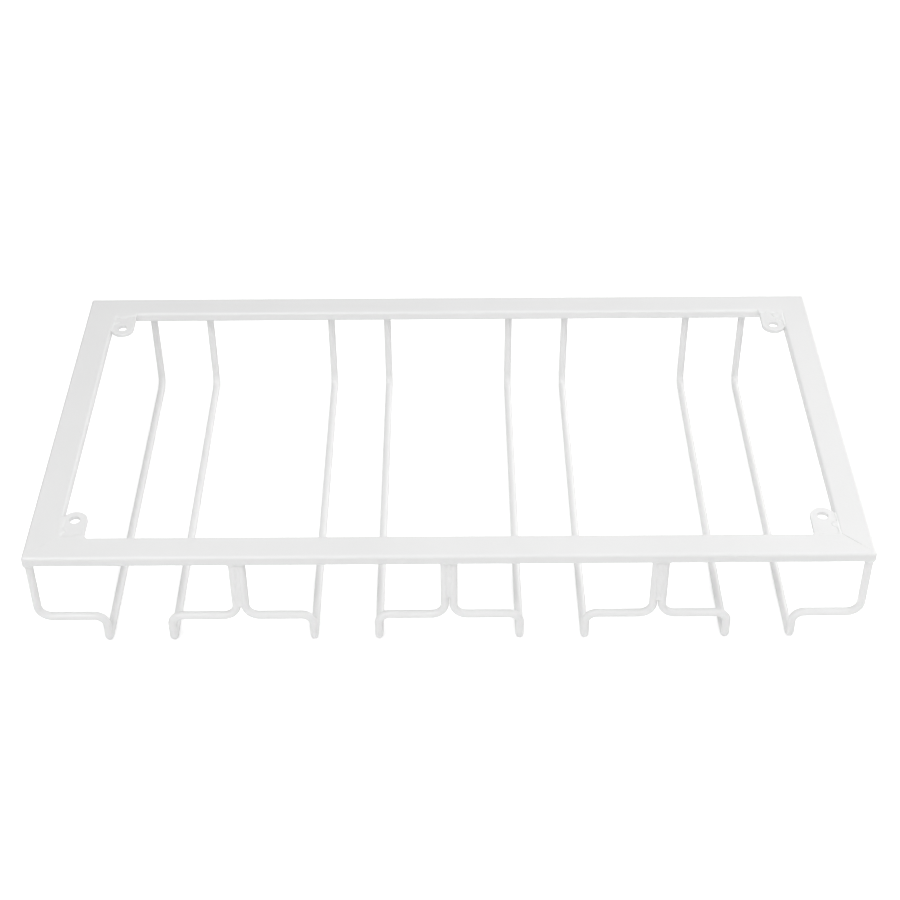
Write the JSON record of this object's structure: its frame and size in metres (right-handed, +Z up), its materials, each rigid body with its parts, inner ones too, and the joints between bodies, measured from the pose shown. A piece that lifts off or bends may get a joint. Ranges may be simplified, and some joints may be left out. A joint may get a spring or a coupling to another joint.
{
  "type": "stemware rack",
  "caption": "Under-cabinet rack for stemmed glasses: flat tube frame with bent wire rails forming open-fronted slots, screwed up through corner tabs.",
  "frame": {"origin": "centre of the four screw holes, on the upper face of the mounting tabs, half a millimetre below the frame's upper face", "axes": "+X to the rack's right seen from its open front, +Y to its back, +Z up towards the cabinet it is screwed to"},
  "size_m": [0.43, 0.232, 0.0623],
  "materials": {
    "frame_tube": "white powder coat, satin, fine orange peel",
    "tab_plate": "white powder coat, satin, fine orange peel",
    "rail_wire": "white powder coat, satin, smooth",
    "weld_metal": "weld bead under white powder coat, satin"
  },
  "bodies": {
    "root": {"front_bar": "frame_tube", "rear_bar": "frame_tube", "left_bar": "frame_tube", "right_bar": "frame_tube", "corner_welds": "weld_metal", "mounting_tab_front_left": "tab_plate", "mounting_tab_front_right": "tab_plate", "mounting_tab_rear_left": "tab_plate", "mounting_tab_rear_right": "tab_plate", "tab_welds": "weld_metal", "glass_rail_1": "rail_wire", "glass_rail_2": "rail_wire", "glass_rail_3": "rail_wire", "glass_rail_4": "rail_wire", "glass_rail_5": "rail_wire", "glass_rail_6": "rail_wire", "glass_rail_7": "rail_wire", "glass_rail_8": "rail_wire", "front_post_welds": "weld_metal", "rear_leg_welds": "weld_metal"}
  },
  "joints": []
}
